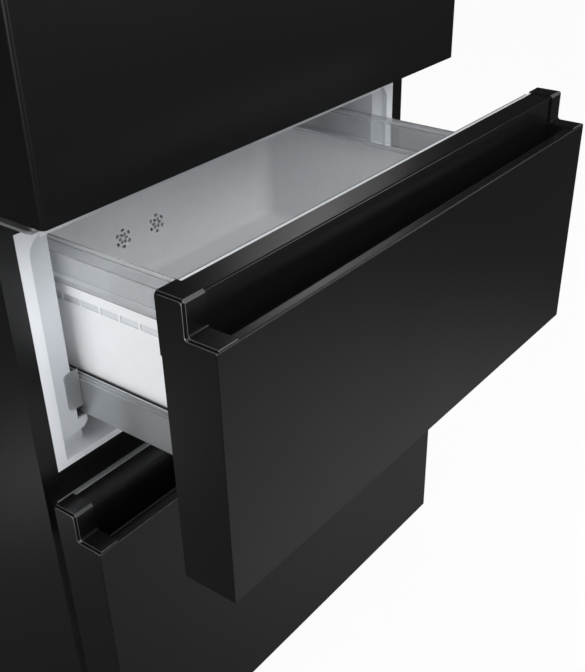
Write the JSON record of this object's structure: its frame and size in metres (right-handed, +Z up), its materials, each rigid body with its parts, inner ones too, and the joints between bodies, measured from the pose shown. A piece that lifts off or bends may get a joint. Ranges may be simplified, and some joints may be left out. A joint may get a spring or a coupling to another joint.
{
  "type": "bottom freezer refrigerator",
  "caption": "Tall refrigerator with one swing door above stacked pull-out freezer drawers with stepped finger-trough handles, one drawer drawn out.",
  "frame": {"origin": "centre of the footprint at floor level, with the middle drawer drawn out as it rests", "axes": "+Z up, +X to the right of someone facing the fronts, +Y from the fronts into the cabinet"},
  "size_m": [0.7, 0.87, 1.905],
  "materials": {
    "black_steel": "satin black painted steel, fine even grain",
    "handle_black": "satin black profile with soft edges",
    "cap_black": "fine-textured black moulding",
    "white_liner": "white vacuum-formed sheet, soft gloss",
    "white_basket": "white moulding, soft gloss",
    "clear_plastic": "clear styrene",
    "shelf_glass": "toughened glass",
    "galvanised": "satin zinc-coated steel",
    "seal_grey": "soft grey magnetic seal",
    "foam": "rigid polyurethane foam",
    "grey_metal": "light grey zinc-plated steel",
    "black_plastic": "black moulding",
    "machine_black": "black enamel",
    "coil_aluminium": "bare fin stock",
    "grey_plastic": "pale grey moulding",
    "back_steel": "plain coated steel",
    "foot_rubber": "black rubberised foot"
  },
  "bodies": {
    "cabinet": {"outer_case": "black_steel", "rear_panel": "back_steel", "insulation_foam": "foam", "fridge_liner": "white_liner", "upper_freezer_liner": "white_liner", "lower_freezer_liner": "white_liner", "lower_crossbar": "black_steel", "middle_crossbar": "black_steel", "base_pan": "back_steel", "kick_grille": "black_plastic", "machine_cover": "back_steel", "compressor": "machine_black", "condenser_coil": "coil_aluminium", "evaporator": "coil_aluminium", "evaporator_cover": "white_liner", "air_duct_cover": "white_liner", "control_panel": "grey_plastic", "crisper_shelf": "shelf_glass", "shelf_lower": "shelf_glass", "shelf_upper": "shelf_glass", "middle_hinge": "grey_metal", "top_hinge": "grey_metal", "top_hinge_cover": "black_plastic", "low_rail_fixed": "galvanised", "mid_rail_fixed": "galvanised"},
    "fridge_door": {"door_skin": "black_steel", "door_foam": "foam", "door_liner": "white_liner", "door_gasket": "seal_grey", "door_end_caps": "cap_black", "bin_lower": "clear_plastic", "bin_middle": "clear_plastic", "bin_upper": "clear_plastic"},
    "middle_drawer": {"mid_front_skin": "black_steel", "mid_front_foam": "foam", "mid_front_liner": "white_liner", "mid_gasket": "seal_grey", "mid_handle_rail": "handle_black", "mid_end_caps": "cap_black", "mid_drawer_sides": "galvanised", "mid_basket": "white_basket", "mid_collar": "clear_plastic"},
    "middle_runners": {"mid_rail_middle": "galvanised"},
    "lower_drawer": {"low_front_skin": "black_steel", "low_front_foam": "foam", "low_front_liner": "white_liner", "low_gasket": "seal_grey", "low_handle_rail": "handle_black", "low_end_caps": "cap_black", "low_drawer_sides": "galvanised", "low_basket": "white_basket"},
    "lower_runners": {"low_rail_middle": "galvanised"},
    "crisper_left": {"crisper_left": "clear_plastic"},
    "crisper_right": {"crisper_right": "clear_plastic"},
    "condenser_fan": {"condenser_fan": "black_plastic"},
    "evaporator_fan": {"evaporator_fan": "black_plastic"},
    "foot_left": {"foot_left": "foot_rubber"},
    "foot_right": {"foot_right": "foot_rubber"},
    "roller_left": {"roller_left": "foot_rubber"},
    "roller_right": {"roller_right": "foot_rubber"}
  },
  "joints": [
    {"name": "door_hinge", "type": "hinge", "parent": "cabinet", "child": "fridge_door", "pos_m": [-0.33, -0.208, 0.823], "axis": [0, 0, -1], "range_deg": [0, 120]},
    {"name": "middle_drawer_slide", "type": "slide", "parent": "cabinet", "child": "middle_drawer", "axis": [0, -1, 0], "range_m": [-0.194, 0.166]},
    {"name": "middle_runner_slide", "type": "slide", "parent": "cabinet", "child": "middle_runners", "axis": [0, -1, 0], "range_m": [-0.097, 0.083]},
    {"name": "lower_drawer_slide", "type": "slide", "parent": "cabinet", "child": "lower_drawer", "axis": [0, -1, 0], "range_m": [0, 0.36]},
    {"name": "lower_runner_slide", "type": "slide", "parent": "cabinet", "child": "lower_runners", "axis": [0, -1, 0], "range_m": [0, 0.18]},
    {"name": "crisper_left_slide", "type": "slide", "parent": "cabinet", "child": "crisper_left", "axis": [0, -1, 0], "range_m": [0, 0.086]},
    {"name": "crisper_right_slide", "type": "slide", "parent": "cabinet", "child": "crisper_right", "axis": [0, -1, 0], "range_m": [0, 0.086]},
    {"name": "condenser_fan_spin", "type": "hinge", "parent": "cabinet", "child": "condenser_fan", "pos_m": [-0.01, 0.356, 0.112], "axis": [1, 0, 0], "continuous": true},
    {"name": "evaporator_fan_spin", "type": "hinge", "parent": "cabinet", "child": "evaporator_fan", "pos_m": [0, 0.259, 0.7275], "axis": [0, 1, 0], "continuous": true},
    {"name": "foot_left_turn", "type": "hinge", "parent": "cabinet", "child": "foot_left", "pos_m": [-0.305, -0.121, 0.01], "axis": [0, 0, 1], "continuous": true},
    {"name": "foot_right_turn", "type": "hinge", "parent": "cabinet", "child": "foot_right", "pos_m": [0.305, -0.121, 0.01], "axis": [0, 0, 1], "continuous": true},
    {"name": "roller_left_spin", "type": "hinge", "parent": "cabinet", "child": "roller_left", "pos_m": [-0.305, 0.351, 0.014], "axis": [1, 0, 0], "continuous": true},
    {"name": "roller_right_spin", "type": "hinge", "parent": "cabinet", "child": "roller_right", "pos_m": [0.305, 0.351, 0.014], "axis": [1, 0, 0], "continuous": true}
  ],
  "couplings": [
    {"joint": "middle_runner_slide", "follows": "middle_drawer_slide", "ratio": 0.5},
    {"joint": "lower_runner_slide", "follows": "lower_drawer_slide", "ratio": 0.5}
  ]
}
